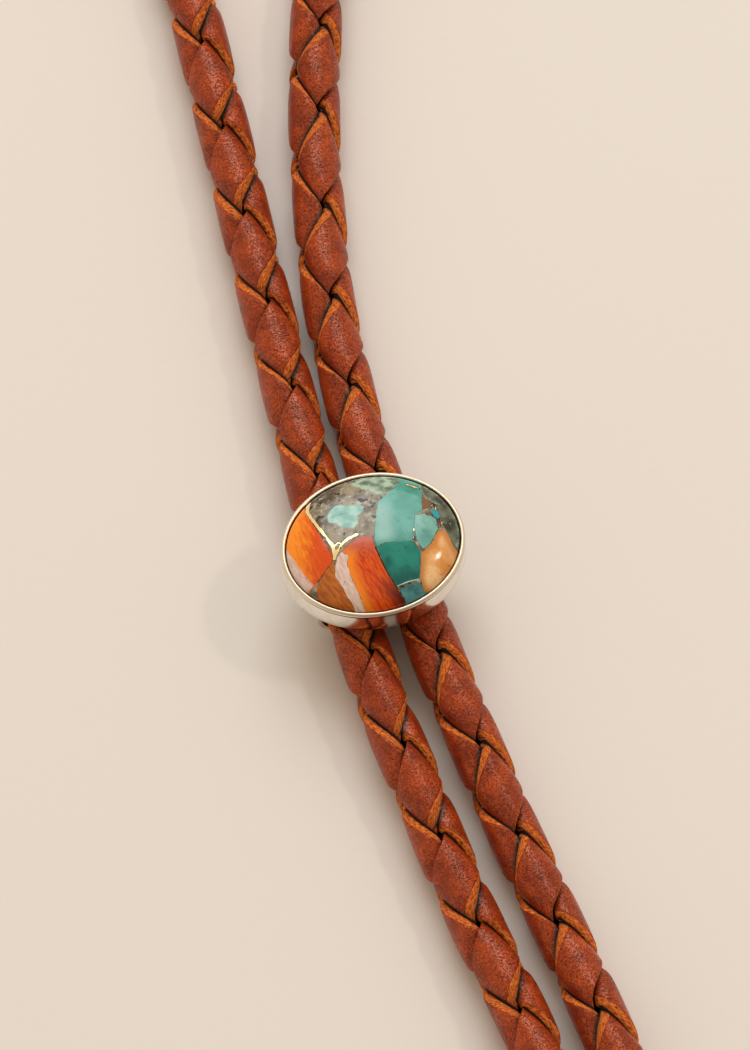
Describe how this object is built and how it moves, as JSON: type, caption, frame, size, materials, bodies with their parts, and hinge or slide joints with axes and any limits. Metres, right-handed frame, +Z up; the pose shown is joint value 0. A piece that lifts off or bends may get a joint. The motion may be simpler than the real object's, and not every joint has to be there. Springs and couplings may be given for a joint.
{
  "type": "bolo tie",
  "caption": "Doubled round braid of tan leather laces, gathered by a silver slide with a domed oval stone and closed with plain silver tips.",
  "frame": {"origin": "on the surface that the tie lies on, under the middle of the slide, on the flat foot of its guide band", "axes": "+Z up, +Y along the cords towards the neck loop, +X along the long axis of the oval slide"},
  "size_m": [0.0749, 0.2779, 0.0132],
  "materials": {
    "leather": "smooth tan-brown grain side, raw orange-tan cut edges",
    "silver": "polished silver",
    "stone": "polished composite of turquoise, orange shell and grey matrix with bronze veins",
    "tip_metal": "polished silver"
  },
  "bodies": {
    "cord": {"lace_1": "leather", "lace_2": "leather", "lace_3": "leather", "lace_4": "leather", "tip_left": "tip_metal", "tip_right": "tip_metal"},
    "slide": {"slide_setting": "silver", "cabochon": "stone"}
  },
  "joints": [
    {"name": "slide_along_cords", "type": "slide", "parent": "cord", "child": "slide", "axis": [0, -1, 0], "range_m": [0, 0.008]}
  ]
}
